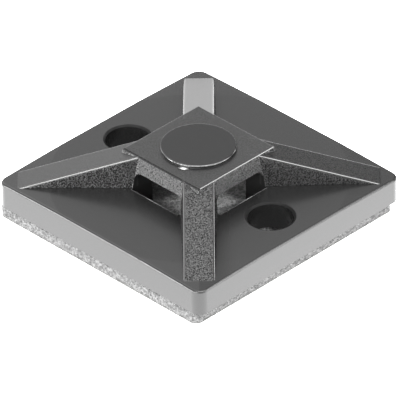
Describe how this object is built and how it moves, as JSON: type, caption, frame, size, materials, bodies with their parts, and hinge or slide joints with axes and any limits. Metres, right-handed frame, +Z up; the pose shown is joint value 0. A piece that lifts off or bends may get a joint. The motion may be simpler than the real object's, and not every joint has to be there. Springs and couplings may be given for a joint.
{
  "type": "cable tie mount",
  "caption": "Square plastic mount on a foam tape pad: ribs rise to a bridge that a cable tie passes under either way, with screw holes.",
  "frame": {"origin": "centre of the bounding box at the underside of the release paper", "axes": "+Z up through the middle of the bridge, X through the two screw holes"},
  "size_m": [0.0286, 0.0286, 0.0082],
  "materials": {
    "moulded_nylon": "black nylon, gloss on the plate's top and edges, fine spark-eroded grain on the bridge, ribs and windows",
    "foam_tape": "pale grey closed-cell foam with adhesive on both faces, edges die-cut and slightly ragged",
    "liner_paper": "white silicone-coated release paper"
  },
  "bodies": {
    "root": {"mount_body": "moulded_nylon", "foam_pad": "foam_tape", "release_liner": "liner_paper"}
  },
  "joints": []
}
